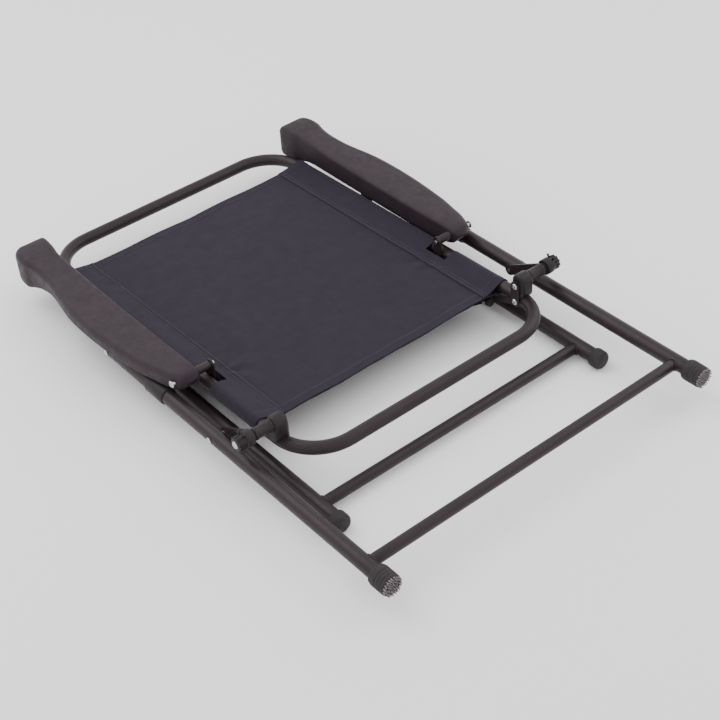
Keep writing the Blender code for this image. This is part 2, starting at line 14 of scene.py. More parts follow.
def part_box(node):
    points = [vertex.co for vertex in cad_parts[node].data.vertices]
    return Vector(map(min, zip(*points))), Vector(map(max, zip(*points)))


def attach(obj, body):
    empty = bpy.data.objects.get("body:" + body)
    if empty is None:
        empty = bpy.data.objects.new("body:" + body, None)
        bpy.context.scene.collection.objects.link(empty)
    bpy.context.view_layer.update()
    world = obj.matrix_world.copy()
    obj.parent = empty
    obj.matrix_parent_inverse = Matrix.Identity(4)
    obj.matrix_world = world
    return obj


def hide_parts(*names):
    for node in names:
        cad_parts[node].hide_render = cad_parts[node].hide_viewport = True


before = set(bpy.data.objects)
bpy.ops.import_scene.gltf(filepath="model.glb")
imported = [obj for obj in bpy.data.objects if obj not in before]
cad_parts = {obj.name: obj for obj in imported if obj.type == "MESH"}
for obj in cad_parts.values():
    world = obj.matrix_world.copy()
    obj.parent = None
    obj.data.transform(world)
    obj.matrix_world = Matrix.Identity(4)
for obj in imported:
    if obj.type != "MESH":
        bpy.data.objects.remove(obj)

bl_info = {
    "name": "Camp rocking chair",
    "version": (1, 0, 0),
    "blender": (4, 5, 0),
    "location": "View3D > Sidebar > Camp chair",
    "description": "Builds the finished pieces and cloth of a folded camp rocking chair",
    "category": "Object",
}

SIDES = ((-1, "left"), (1, "right"))
ALONG, ACROSS, UP = Vector((0, 1, 0)), Vector((1, 0, 0)), Vector((0, 0, 1))
FOOT_REACH = 0.009  # rear feet beyond station 0


def middle(node):
    low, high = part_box(node)
    return (low + high) / 2


STATION_0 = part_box("rear_foot_left")[0].y + FOOT_REACH
AXIS_HEIGHT = middle("rear_leg_left").z


def at(x, station, height):
    return Vector((x, STATION_0 + station, AXIS_HEIGHT + height))


def first_and_last(node):
    """The stations that a node lies between."""
    low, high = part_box(node)
    return low.y - STATION_0, high.y - STATION_0


def linear(code):
    """An sRGB hex colour as linear red, green, blue and alpha."""
    channels = [int(code[i : i + 2], 16) / 255 for i in (1, 3, 5)]
    return (*(c / 12.92 if c <= 0.04045 else ((c + 0.055) / 1.055) ** 2.4 for c in channels), 1.0)


# Properties


def length_property(name, description, default):
    return bpy.props.FloatProperty(name=name, description=description, default=default, subtype="DISTANCE")


def colour_property(name, description, code):
    return bpy.props.FloatVectorProperty(
        name=name, description=description, size=4, subtype="COLOR", default=linear(code)
    )


class ChairSizes(bpy.types.PropertyGroup):
    """Sizes that a user would change."""

    cloth: length_property("Cloth", "Thickness of one layer of cloth", 0.0011)
    flap: length_property("Sleeve flap", "How far the sleeve's flap reaches in from the tube's axis", 0.046)
    hem: length_property("Hem", "Depth of the hems at the sling's two ends", 0.018)
    sag: length_property("Sag", "How far the middle of a sling hangs below its sleeves", 0.0035)
    stitch: length_property("Stitch", "Spacing of the stitches", 0.0042)
    stud: length_property("Foot stud", "Width of a stud on a rear foot's face", 0.0024)
    weld: length_property("Weld bead", "Radius of the bead where a crossbar meets a leg", 0.0019)


class ChairColours(bpy.types.PropertyGroup):
    """Base colours of the finishes, in linear light."""

    coat: colour_property("Powder coat", "Dark brown coat on the steel tubes", "#271e21")
    moulding: colour_property("Armrests", "Brown-black polypropylene", "#2a2027")
    hinge: colour_property("Hinge mouldings", "Grey-brown nylon of the barrels, sleeves and hubs", "#231e21")
    cloth: colour_property("Cloth", "Slate polyester cloth", "#251f2b")
    thread: colour_property("Thread", "Sewing thread", "#2c2830")
    rubber: colour_property("Feet", "Dark rubber of the feet", "#262123")
    stud: colour_property("Studs", "Scuffed studs on the feet", "#7a7072")
    zinc: colour_property("Zinc", "Bright zinc plate on rivets and bolts", "#c9c9cc")
    floor: colour_property("Floor", "Pale studio floor", "#f4f4f4")


def sizes():
    return bpy.context.scene.chair_sizes


def colours():
    return bpy.context.scene.chair_colours


# Finishes

CLOTH_UV = "cloth_metres"


def add(tree, kind, inputs=None, **settings):
    """Adds a node with its settings, its values and its links."""
    node = tree.nodes.new(kind)
    for name, value in settings.items():
        setattr(node, name, value)
    for socket, value in (inputs or {}).items():
        if isinstance(value, bpy.types.NodeSocket):
            tree.links.new(value, node.inputs[socket])
        else:
            node.inputs[socket].default_value = value
    return node


def patches(tree, where, size_mm, low, high, detail=3.0):
    """A value that wanders between low and high in patches of about a size."""
    cloud = add(tree, "ShaderNodeTexNoise", {"Vector": where, "Scale": 1000 / size_mm, "Detail": detail})
    spread = {"Value": cloud.outputs["Fac"], "From Min": 0.3, "From Max": 0.7, "To Min": low, "To Max": high}
    return add(tree, "ShaderNodeMapRange", spread).outputs["Result"]


def finished(name, colour, paint, uv_map=None):
    """A named material. paint adds its nodes and gives (tone, roughness, bump height, bump distance)."""
    if name in bpy.data.materials:
        return bpy.data.materials[name]
    made = bpy.data.materials.new(name)
    made.use_nodes = True
    tree = made.node_tree
    tree.nodes.clear()
    shader = add(tree, "ShaderNodeBsdfPrincipled")
    output = add(tree, "ShaderNodeOutputMaterial")
    tree.links.new(shader.outputs["BSDF"], output.inputs["Surface"])
    if uv_map:
        where = add(tree, "ShaderNodeUVMap", uv_map=uv_map).outputs["UV"]
    else:
        where = add(tree, "ShaderNodeTexCoord").outputs["Object"]
    tone, roughness, height, distance = paint(tree, shader, where)
    tint = add(tree, "ShaderNodeCombineColor", {"Red": tone, "Green": tone, "Blue": tone})
    shade = {0: 1.0, 6: (*colour[:3], 1.0), 7: tint.outputs["Color"]}
    mixed = add(tree, "ShaderNodeMix", shade, data_type="RGBA", blend_type="MULTIPLY")
    tree.links.new(mixed.outputs[2], shader.inputs["Base Color"])
    tree.links.new(roughness, shader.inputs["Roughness"])
    bump = add(tree, "ShaderNodeBump", {"Height": height, "Distance": distance, "Strength": 1.0})
    tree.links.new(bump.outputs["Normal"], shader.inputs["Normal"])
    made.diffuse_color = colour
    return made


def rubbed(tree, where, value, size_mm, threshold, gain):
    """value, raised where a fine cloud passes a threshold: scattered specks and scuffs."""
    cloud = add(tree, "ShaderNodeTexNoise", {"Vector": where, "Scale": 1000 / size_mm, "Detail": 5.0})
    over = {"Value": cloud.outputs["Fac"], "To Max": gain}
    over |= {"From Min": threshold, "From Max": threshold + 0.06}
    speck = add(tree, "ShaderNodeMapRange", over).outputs["Result"]
    return add(tree, "ShaderNodeMath", {0: value, 1: speck}, operation="ADD").outputs["Value"]


def powder_coat():
    """Powder-coated steel: a satin, slightly pebbled skin that turns a soft highlight along each tube."""

    def paint(tree, shader, where):
        shader.inputs["IOR"].default_value = 1.5
        shader.inputs["Specular IOR Level"].default_value = 0.24
        tone = rubbed(tree, where, patches(tree, where, 38, 0.86, 1.1), 2.6, 0.70, 0.55)
        rough = patches(tree, where, 9, 0.34, 0.46)
        # the coat's pebble is about 0.3 mm and is drawn at 1.2 mm so that it shows
        return tone, rough, patches(tree, where, 1.2, 0.0, 1.0, 2.0), 0.00004

    return finished("powder_coated_steel", colours().coat, paint)


def moulded(name, colour, rough_low, rough_high):
    """Moulded polypropylene or nylon: dull spark texture, slightly worn and lighter in specks."""

    def paint(tree, shader, where):
        shader.inputs["IOR"].default_value = 1.49
        shader.inputs["Specular IOR Level"].default_value = 0.22
        tone = rubbed(tree, where, patches(tree, where, 30, 0.88, 1.1), 1.9, 0.69, 0.5)
        rough = patches(tree, where, 12, rough_low, rough_high)
        # spark texture of 0.5 mm, drawn at 1.4 mm so that it shows
        return tone, rough, patches(tree, where, 1.4, 0.0, 1.0, 3.0), 0.00009

    return finished(name, colour, paint)


def rubber():
    """Moulded rubber: no gloss, dusty patches that lift its dark colour."""

    def paint(tree, shader, where):
        shader.inputs["Specular IOR Level"].default_value = 0.35
        tone = rubbed(tree, where, patches(tree, where, 11, 0.82, 1.2), 2.2, 0.64, 0.6)
        return tone, patches(tree, where, 6, 0.62, 0.82), patches(tree, where, 1.5, 0, 1), 0.0001

    return finished("moulded_rubber", colours().rubber, paint)


def scuffed_stud():
    """Scuffed rubber tips: pale with dust, the lightest spots on the feet."""

    def paint(tree, shader, where):
        tone = patches(tree, where, 3, 0.55, 1.25)
        return tone, patches(tree, where, 2, 0.45, 0.7), patches(tree, where, 0.8, 0, 1), 0.00008

    return finished("scuffed_rubber_studs", colours().stud, paint)


def zinc_plate():
    """Zinc-plated steel: bright, with faint cloudy patches and drawn marks that break its highlight."""

    def paint(tree, shader, where):
        shader.inputs["Metallic"].default_value = 1.0
        tone = patches(tree, where, 2.5, 0.72, 1.05)
        rough = patches(tree, where, 1.8, 0.2, 0.38)
        return tone, rough, patches(tree, where, 0.7, 0, 1), 0.00003

    return finished("zinc_plated_steel", colours().zinc, paint)


def woven_cloth():
    """Plain-woven polyester: matt, a soft pale sheen at grazing angles, faint slubs along both threads."""

    def paint(tree, shader, where):
        shader.inputs["Sheen Weight"].default_value = 0.06
        shader.inputs["Sheen Roughness"].default_value = 0.45
        shader.inputs["Specular IOR Level"].default_value = 0.15
        # threads of 0.45 mm, drawn at 1.5 mm so that the weave shows
        turns = 2 * math.pi / 0.0015
        scaled = add(tree, "ShaderNodeVectorMath", {0: where, 1: (turns, turns, 1)}, operation="MULTIPLY")
        split = add(tree, "ShaderNodeSeparateXYZ", {0: scaled.outputs["Vector"]})
        warp = add(tree, "ShaderNodeMath", {0: split.outputs["X"]}, operation="SINE").outputs["Value"]
        weft = add(tree, "ShaderNodeMath", {0: split.outputs["Y"]}, operation="SINE").outputs["Value"]
        weave = add(tree, "ShaderNodeMath", {0: warp, 1: weft}, operation="MULTIPLY").outputs["Value"]
        # slubs: noise drawn out 30 to 1 along the weft, then along the warp
        tones = []
        for stretch in ((12, 420, 1), (420, 12, 1)):
            drawn = add(tree, "ShaderNodeVectorMath", {0: where, 1: stretch}, operation="MULTIPLY")
            tones.append(patches(tree, drawn.outputs["Vector"], 1000, 0.93, 1.07))
        slubs = add(tree, "ShaderNodeMath", {0: tones[0], 1: tones[1]}, operation="MULTIPLY").outputs["Value"]
        broad = patches(tree, where, 90, 0.93, 1.07)
        tone = add(tree, "ShaderNodeMath", {0: slubs, 1: broad}, operation="MULTIPLY").outputs["Value"]
        shade = add(tree, "ShaderNodeMath", {0: weave, 1: 0.05, 2: tone}, operation="MULTIPLY_ADD")
        return shade.outputs["Value"], patches(tree, where, 25, 0.74, 0.86), weave, 0.00012

    return finished("woven_polyester", colours().cloth, paint, CLOTH_UV)


def thread():
    """Twisted polyester thread: a touch paler and shinier than the cloth."""

    def paint(tree, shader, where):
        shader.inputs["Sheen Weight"].default_value = 0.2
        tone, rough = patches(tree, where, 4, 0.85, 1.15), patches(tree, where, 5, 0.5, 0.65)
        return tone, rough, patches(tree, where, 0.6, 0, 1), 0.00005

    return finished("twisted_thread", colours().thread, paint)


# Mesh helpers


MERGE_DISTANCE = 0.000001
WIDE_BEVEL = 0.003  # bevels from here up are rounded with more segments


def linked(name, data):
    obj = bpy.data.objects.new(name, data)
    bpy.context.scene.collection.objects.link(obj)
    return obj


def meshed(name, shape):
    """A bmesh as a mesh. The bmesh is freed."""
    mesh = bpy.data.meshes.new(name)
    shape.to_mesh(mesh)
    shape.free()
    return mesh


def piece(name, shape, finish, body, replaced=(), bevel=0.0, sharp_deg=38):
    """Turns a bmesh into a finished piece that rides on a body."""
    bmesh.ops.remove_doubles(shape, verts=shape.verts, dist=MERGE_DISTANCE)
    bmesh.ops.recalc_face_normals(shape, faces=shape.faces)
    obj = linked(name, meshed(name, shape))
    if bevel:
        step = obj.modifiers.new("edges", "BEVEL")
        step.width, step.segments = bevel, 2 if bevel < WIDE_BEVEL else 5
        step.limit_method, step.angle_limit = "ANGLE", math.radians(sharp_deg)
        bake(obj)
    return settle(obj, finish, body, replaced, sharp_deg)


def bake(obj):
    """Replaces an object's mesh by what its modifiers make of it."""
    graph = bpy.context.evaluated_depsgraph_get()
    made = bpy.data.meshes.new_from_object(obj.evaluated_get(graph))
    obj.modifiers.clear()
    obj.data = made


def settle(obj, finish, body, replaced=(), sharp_deg=38):
    obj.data.materials.clear()
    obj.data.materials.append(finish)
    obj.data.shade_smooth()
    obj.data.set_sharp_from_angle(angle=math.radians(sharp_deg))
    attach(obj, body)
    if replaced:
        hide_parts(*replaced)
    return obj


def lathe(shape, start, direction, profile, sides=48):
    """Turns (radius, distance) points about an axis into a closed skin."""
    turn = direction.to_track_quat("Z", "Y").to_matrix().to_4x4()
    placed = Matrix.Translation(start) @ turn
    rings = []
    for radius, distance in profile:
        if radius == 0:
            rings.append([shape.verts.new(placed @ Vector((0, 0, distance)))])
            continue
        ring = []
        for i in range(sides):
            angle = 2 * math.pi * i / sides
            point = Vector((radius * math.cos(angle), radius * math.sin(angle), distance))
            ring.append(shape.verts.new(placed @ point))
        rings.append(ring)
    for first, second in zip(rings, rings[1:]):
        for i in range(sides):
            j = (i + 1) % sides
            corners = [first[i % len(first)], first[j % len(first)]]
            corners += [second[j % len(second)], second[i % len(second)]]
            shape.faces.new(list(dict.fromkeys(corners)))
    return shape


def skin(shape, rings, closed=False):
    """Faces between rings of equal count, with flat ends unless the rings close on themselves."""
    pairs = list(zip(rings, rings[1:])) + ([(rings[-1], rings[0])] if closed else [])
    for first, second in pairs:
        for i in range(len(first)):
            j = (i + 1) % len(first)
            shape.faces.new((first[i], first[j], second[j], second[i]))
    if not closed:
        shape.faces.new(rings[0][::-1])
        shape.faces.new(rings[-1])


def sweep(shape, points, radius, sides=32, closed=False):
    """A round skin along a line of points, with flat ends unless the line is closed."""
    rings = []
    count = len(points)
    for i, point in enumerate(points):
        before = points[i - 1] if closed or i else points[0]
        after = points[(i + 1) % count] if closed or i + 1 < count else points[-1]
        run = (after - before).normalized()
        side = run.cross(UP if abs(run.z) < 0.9 else ACROSS).normalized()
        lift = side.cross(run)
        size = radius(i) if callable(radius) else radius
        ring = []
        for k in range(sides):
            angle = 2 * math.pi * k / sides
            ring.append(shape.verts.new(point + size * (math.cos(angle) * side + math.sin(angle) * lift)))
        rings.append(ring)
    skin(shape, rings, closed)
    return shape


def arc(centre, radius, start_deg, end_deg, steps):
    angles = [math.radians(start_deg + (end_deg - start_deg) * i / steps) for i in range(steps + 1)]
    return [(centre[0] + radius * math.cos(a), centre[1] + radius * math.sin(a)) for a in angles]


def eased(value):
    value = min(max(value, 0.0), 1.0)
    return value * value * (3 - 2 * value)


# Tubes, crossbars and welds


def tube_ends(node, axis):
    """(start, end, radius) of a straight tube from its node's box, with a slope along Y kept."""
    low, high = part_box(node)
    radius = (high.x - low.x) / 2 if axis == "y" else (high.y - low.y) / 2
    centre = (low + high) / 2
    if axis == "x":
        return Vector((low.x, centre.y, centre.z)), Vector((high.x, centre.y, centre.z)), radius
    drop = (high.z - low.z) / 2 - radius
    return Vector((centre.x, low.y, centre.z + drop)), Vector((centre.x, high.y, centre.z - drop)), radius


def straight_tube(name, node, axis, body):
    start, end, radius = tube_ends(node, axis)
    shape = sweep(bmesh.new(), [start.lerp(end, i / 12) for i in range(13)], radius, 40)
    return piece(name, shape, powder_coat(), body, (node,), bevel=0.0006)


def weld_bead(shape, centre, bar_radius, leg_radius, side):
    """The bead along the line where a crossbar meets the leg beside it, slightly uneven as laid."""
    line = []
    for i in range(48):
        angle = 2 * math.pi * i / 48
        y, z = (bar_radius + 0.0003) * math.cos(angle), (bar_radius + 0.0003) * math.sin(angle)
        reach = math.sqrt(max(leg_radius**2 - z**2, 0.0))
        line.append(centre + Vector((-side * reach, y, z)))
    bead = sizes().weld

    def size(i):
        return bead * (1 + 0.22 * noise.noise(line[i] * 260))

    sweep(shape, line, size, 10, closed=True)


class CHAIR_OT_tubes(bpy.types.Operator):
    """Leg tubes, crossbars, seat frame, top plugs and the weld beads between them"""

    bl_idname = "chair.tubes"
    bl_label = "Tubes and welds"

    def execute(self, context):
        for prefix, body in (("rear", "rear_legs"), ("front", "front_legs")):
            straight_tube(f"{prefix}_crossbar_tube", f"{prefix}_crossbar", "x", body)
            bar = middle(f"{prefix}_crossbar")
            bar_radius = tube_ends(f"{prefix}_crossbar", "x")[2]
            beads = bmesh.new()
            for side, hand in SIDES:
                straight_tube(f"{prefix}_leg_tube_{hand}", f"{prefix}_leg_{hand}", "y", body)
                leg, leg_radius = middle(f"{prefix}_leg_{hand}"), tube_ends(f"{prefix}_leg_{hand}", "y")[2]
                weld_bead(beads, Vector((leg.x, bar.y, bar.z)), bar_radius, leg_radius, side)
            piece(f"{prefix}_crossbar_welds", beads, powder_coat(), body)
        straight_tube("seat_front_tube", "seat_front_bar", "x", "seat")
        for _, hand in SIDES:
            straight_tube(f"seat_side_tube_{hand}", f"seat_rail_{hand}", "y", "seat")
            _, end, radius = tube_ends(f"rear_leg_{hand}", "y")
            bore = radius - 0.0016
            plug = [(0, -0.012), (bore, -0.012), (bore, 0), (radius - 0.003, 0.0008), (0, 0.001)]
            shape = lathe(bmesh.new(), end, ALONG, plug)
            piece(f"rear_leg_plug_{hand}", shape, hinge_moulding(), "rear_legs")
        return {"FINISHED"}


def hinge_moulding():
    return moulded("moulded_nylon", colours().hinge, 0.36, 0.5)


def armrest_moulding():
    return moulded("moulded_polypropylene", colours().moulding, 0.46, 0.62)


# Back hoop

HOOP_RADIUS, HOOP_BEND = 0.011, 0.078
HOOP_LOW, HOOP_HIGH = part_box("back_hoop_lower")[0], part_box("back_hoop_upper")[1]
HOOP_X = HOOP_HIGH.x - HOOP_RADIUS
HOOP_START = HOOP_LOW.y + HOOP_RADIUS - STATION_0
HOOP_TOP = HOOP_HIGH.y - HOOP_RADIUS - STATION_0
HOOP_START_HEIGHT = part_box("back_hoop_lower")[1].z - HOOP_RADIUS - AXIS_HEIGHT
HOOP_TOP_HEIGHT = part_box("back_hoop_upper")[0].z + HOOP_RADIUS - AXIS_HEIGHT


def hoop_height(station):
    share = (station - HOOP_START) / (HOOP_TOP - HOOP_START)
    return HOOP_START_HEIGHT + share * (HOOP_TOP_HEIGHT - HOOP_START_HEIGHT)


class CHAIR_OT_hoop(bpy.types.Operator):
    """The back's hoop of one bent tube"""

    bl_idname = "chair.hoop"
    bl_label = "Back hoop"

    def execute(self, context):
        side_x, bend = HOOP_X - HOOP_BEND, HOOP_BEND
        flat = []
        corners = (
            ((side_x, HOOP_START + bend), 270, 360),
            ((side_x, HOOP_TOP - bend), 0, 90),
            ((-side_x, HOOP_TOP - bend), 90, 180),
            ((-side_x, HOOP_START + bend), 180, 270),
        )
        for centre, first, last in corners:
            flat += arc(centre, bend, first, last, 20)
        line = []
        for i, (x, station) in enumerate(flat):
            after = flat[(i + 1) % len(flat)]
            parts = 12 if math.dist((x, station), after) > 0.05 else 1
            for k in range(parts):
                s = station + (after[1] - station) * k / parts
                line.append(at(x + (after[0] - x) * k / parts, s, hoop_height(s)))
        shape = sweep(bmesh.new(), line, HOOP_RADIUS, 36, closed=True)
        replaced = ("back_hoop_upper", "back_hoop_lower")
        piece("back_hoop_tube", shape, powder_coat(), "back", replaced)
        return {"FINISHED"}


# Cloth slings

BACK_NOTCH = (0.488, 0.536, 0.229)  # first and last station, inner edge
SEAT_FLAP = 0.030
DOUBLED = 1.7  # thickness of folded and sewn cloth, in layers


def thinned(marks, least):
    """The marks in order, less any too close behind the one before it. A mark at exactly 1 always stays."""
    kept = []
    for mark in sorted(marks):
        if not kept or mark - kept[-1] > least or mark == 1.0:
            kept.append(mark)
    return kept


class Sling:
    """A cloth wrapped round two tubes. q runs along its cross-section from the middle outwards."""

    def __init__(self, tube_x, radius, flap, start, end, height_of, notch=None):
        self.tube_x, self.start, self.end, self.height_of = tube_x, start, end, height_of
        self.notch = notch
        thickness = sizes().cloth
        round_it = radius + 0.0004 + thickness / 2
        inner = tube_x - flap
        line = [(0.0, 0.0), (inner - 0.004, 0.0)]
        line += [(inner + 0.004, -0.0002)]
        line += arc((tube_x, 0.0), round_it, -105, 105, 26)
        line += [(inner + 0.010, thickness * 1.15 + 0.0008), (inner, thickness * 1.15)]
        self.line = line
        self.lengths = [0.0]
        for first, second in zip(line, line[1:]):
            self.lengths.append(self.lengths[-1] + math.dist(first, second))
        self.half = self.lengths[-1]
        self.inner = inner

    def section(self, q):
        """(x, height) at a distance along the half cross-section."""
        q = min(max(q, 0.0), self.half)
        for i in range(len(self.lengths) - 1):
            if q <= self.lengths[i + 1]:
                break
        span = self.lengths[i + 1] - self.lengths[i]
        t = (q - self.lengths[i]) / span
        (x0, z0), (x1, z1) = self.line[i], self.line[i + 1]
        return x0 + (x1 - x0) * t, z0 + (z1 - z0) * t

    def drift(self, x, station):
        """How far the cloth hangs and ripples off its straight line."""
        slack = eased((self.tube_x - abs(x) - 0.012) / 0.05)
        along = (station - self.start) / (self.end - self.start)
        across = math.cos(math.pi * x / (2 * self.tube_x))
        bow = -sizes().sag * across * (0.55 + 0.45 * math.sin(math.pi * along))
        broad = 0.0016 * noise.noise(Vector((x * 5, station * 3.2, 4.7)))
        low_end = 0.0011 * math.sin(x * 46 + 0.6) * math.exp(-(station - self.start) / 0.05)
        top_end = 0.0008 * math.sin(x * 39 - 1.0) * math.exp(-(self.end - station) / 0.04)
        pucker = 0.0
        if self.notch:
            middle_station = (self.notch[0] + self.notch[1]) / 2
            dx, ds = abs(x) - (self.notch[2] - 0.012), station - middle_station
            distance = math.hypot(dx, ds)
            pucker = 0.0021 * math.cos(5 * math.atan2(ds, -dx)) * math.exp(-((distance / 0.042) ** 2))
            pucker *= eased(distance / 0.02)
        return slack * (bow + broad + low_end + top_end + pucker)

    def first_station(self, x):
        """The lower edge: straight across the panel, then cut back a little over the tubes."""
        return self.start + 0.003 * eased((abs(x) - self.inner) / (self.tube_x + 0.01 - self.inner))

    def last_station(self, x):
        return self.end - 0.006 * eased((abs(x) - self.inner) / (self.tube_x + 0.01 - self.inner))

    def point(self, side, q, share, lift=0.0):
        """A point on the cloth, share 0 to 1 from its lower to its upper edge."""
        x, z = self.section(q)
        low, high = self.first_station(x), self.last_station(x)
        station = low + (high - low) * share
        if self.notch:
            station = self.share_station(x, share)
        return at(side * x, station, self.height_of(station) + z + self.drift(x, station) + lift)

    def share_station(self, x, share):
        """Stations keep to the notch's two edges whatever the slant of the ends."""
        start, end, _ = self.notch
        low_share = (start - self.start) / (self.end - self.start)
        high_share = (end - self.start) / (self.end - self.start)
        low, high = self.first_station(x), self.last_station(x)
        if share < low_share:
            return low + (start - low) * share / low_share
        if share > high_share:
            return end + (high - end) * (share - high_share) / (1 - high_share)
        return start + (end - start) * (share - low_share) / (high_share - low_share)

    def columns(self):
        """Distances q at which the grid has a line, edges of the notch and the hem's step among them."""
        marks = {0.0, self.half}
        marks |= {self.inner * i / 34 for i in range(1, 34)}
        marks |= set(self.lengths[1:])
        marks |= {self.half - 0.007, self.half - 0.0064, self.half - 0.02, self.half - 0.03}
        for first, second in zip(self.lengths[2:], self.lengths[3:]):
            if second - first > 0.006:
                marks |= {first + (second - first) * i / 5 for i in range(1, 5)}
        if self.notch:
            for first, second, a, b in zip(self.line, self.line[1:], self.lengths, self.lengths[1:]):
                low, high = sorted((first[0], second[0]))
                if low < self.notch[2] < high:
                    marks.add(a + (b - a) * (self.notch[2] - first[0]) / (second[0] - first[0]))
        return thinned(marks, 0.0003)

    def rows(self):
        span = self.end - self.start
        marks = {i / 110 for i in range(111)}
        marks |= {sizes().hem / span, (sizes().hem + 0.0008) / span}
        marks |= {1 - sizes().hem / span, 1 - (sizes().hem + 0.0008) / span}
        if self.notch:
            marks |= {(self.notch[0] - self.start) / span, (self.notch[1] - self.start) / span}
        return thinned(marks, 0.0006)


def sew(name, sling, body, replaced):
    """Builds a sling's cloth as a grid with real thickness, doubled at its hems and flap edges."""
    half, rows = sling.columns(), sling.rows()
    columns = [(-1, q) for q in reversed(half[1:])] + [(1, q) for q in half]
    shape = bmesh.new()
    flat = shape.loops.layers.uv.new(CLOTH_UV)
    grid, spots = [], {}
    span, hem = sling.end - sling.start, sizes().hem
    doubled = set()
    for share in rows:
        line = []
        for side, q in columns:
            vert = shape.verts.new(sling.point(side, q, share))
            line.append(vert)
            spots[vert] = (side * q, share * span)
            if share * span <= hem or (1 - share) * span <= hem or q >= sling.half - 0.0064:
                doubled.add(vert)
        grid.append(line)
    for r in range(len(rows) - 1):
        for c in range(len(columns) - 1):
            q = abs(columns[c][1] * columns[c][0] + columns[c + 1][1] * columns[c + 1][0]) / 2
            if sling.notch:
                x = sling.section(q)[0]
                station = sling.share_station(x, (rows[r] + rows[r + 1]) / 2)
                if x > sling.notch[2] and sling.notch[0] < station < sling.notch[1]:
                    continue
            face = shape.faces.new((grid[r][c], grid[r][c + 1], grid[r + 1][c + 1], grid[r + 1][c]))
            for loop in face.loops:
                loop[flat].uv = spots[loop.vert]
    loose = [v for v in shape.verts if not v.link_faces]
    doubled -= set(loose)
    bmesh.ops.delete(shape, geom=loose, context="VERTS")
    shape.verts.index_update()
    thick = [v.index for v in doubled]
    obj = linked(name, meshed(name, shape))
    group = obj.vertex_groups.new(name="doubled")
    group.add(thick, 1.0, "REPLACE")
    wall = obj.modifiers.new("cloth", "SOLIDIFY")
    wall.thickness = sizes().cloth * DOUBLED
    wall.offset = 0
    wall.vertex_group = group.name
    wall.thickness_vertex_group = 1 / DOUBLED
    bake(obj)
    settle(obj, woven_cloth(), body, replaced, 60)
    return obj


def back_cloth():
    ends = first_and_last("back_sling")
    return Sling(HOOP_X, HOOP_RADIUS, sizes().flap, *ends, hoop_height, BACK_NOTCH)


def seat_cloth():
    start, end, radius = tube_ends("seat_rail_left", "y")
    slope = (end.z - start.z) / (end.y - start.y)

    def rail_height(station):
        return start.z - AXIS_HEIGHT + slope * (station + STATION_0 - start.y)

    return Sling(abs(start.x), radius, SEAT_FLAP, *first_and_last("seat_sling"), rail_height)


class CHAIR_OT_slings(bpy.types.Operator):
    """The back and seat slings, woven cloth with sewn sleeves"""

    bl_idname = "chair.slings"
    bl_label = "Slings"

    def execute(self, context):
        sew("back_sling_cloth", back_cloth(), "back", ("back_sling",))
        sew("seat_sling_cloth", seat_cloth(), "seat", ("seat_sling",))
        return {"FINISHED"}


# Geometry Nodes: stitches and studs


def new_tree(name, **inputs):
    """(tree, input node, output node): geometry in and out, with the named inputs between."""
    tree = bpy.data.node_groups.new(name, "GeometryNodeTree")
    for title, kind in {"Geometry": "Geometry", **inputs}.items():
        tree.interface.new_socket(title, in_out="INPUT", socket_type=f"NodeSocket{kind}")
    tree.interface.new_socket("Geometry", in_out="OUTPUT", socket_type="NodeSocketGeometry")
    return tree, add(tree, "NodeGroupInput"), add(tree, "NodeGroupOutput")


def grow(name, guide_shape, tree, values, finish, body):
    """Runs a node tree on a guide mesh and keeps what it makes as a plain piece."""
    guide = linked(name + "_guide", meshed(name + "_guide", guide_shape))
    step = guide.modifiers.new("grow", "NODES")
    step.node_group = tree
    inputs = {i.name: i for i in tree.interface.items_tree if i.item_type == "SOCKET" and i.in_out == "INPUT"}
    for title, value in values.items():
        step[inputs[title].identifier] = value
    bpy.context.view_layer.update()
    graph = bpy.context.evaluated_depsgraph_get()
    made = bpy.data.meshes.new_from_object(guide.evaluated_get(graph))
    bpy.data.objects.remove(guide, do_unlink=True)
    if not made.polygons:
        raise RuntimeError(f"{name}: the node tree made no faces")
    made.name = name
    return settle(linked(name, made), finish, body, sharp_deg=60)


def stitch_tree(finish):
    """Small capsules laid end to end along every line of the guide."""
    tree, given, result = new_tree("stitch_row", Spacing="Float", Size="Vector")
    line = add(tree, "GeometryNodeMeshToCurve", {"Mesh": given.outputs["Geometry"]})
    even = {"Curve": line.outputs["Curve"], "Length": given.outputs["Spacing"]}
    spaced = add(tree, "GeometryNodeResampleCurve", even, mode="LENGTH")
    run = add(tree, "GeometryNodeInputTangent")
    turn = add(tree, "FunctionNodeAlignRotationToVector", {"Vector": run.outputs[0]}, axis="Z")
    ball = add(tree, "GeometryNodeMeshIcoSphere", {"Radius": 1.0, "Subdivisions": 2})
    laid = {
        "Points": spaced.outputs["Curve"],
        "Instance": ball.outputs["Mesh"],
        "Rotation": turn.outputs["Rotation"],
        "Scale": given.outputs["Size"],
    }
    return end_tree(tree, laid, result, finish)


def end_tree(tree, laid, result, finish):
    """Lays the instances out, makes them real and gives them their material."""
    instances = add(tree, "GeometryNodeInstanceOnPoints", laid)
    real = add(tree, "GeometryNodeRealizeInstances", {"Geometry": instances.outputs["Instances"]})
    kept = {"Geometry": real.outputs["Geometry"], "Material": finish}
    painted = add(tree, "GeometryNodeSetMaterial", kept)
    tree.links.new(painted.outputs["Geometry"], result.inputs["Geometry"])
    return tree


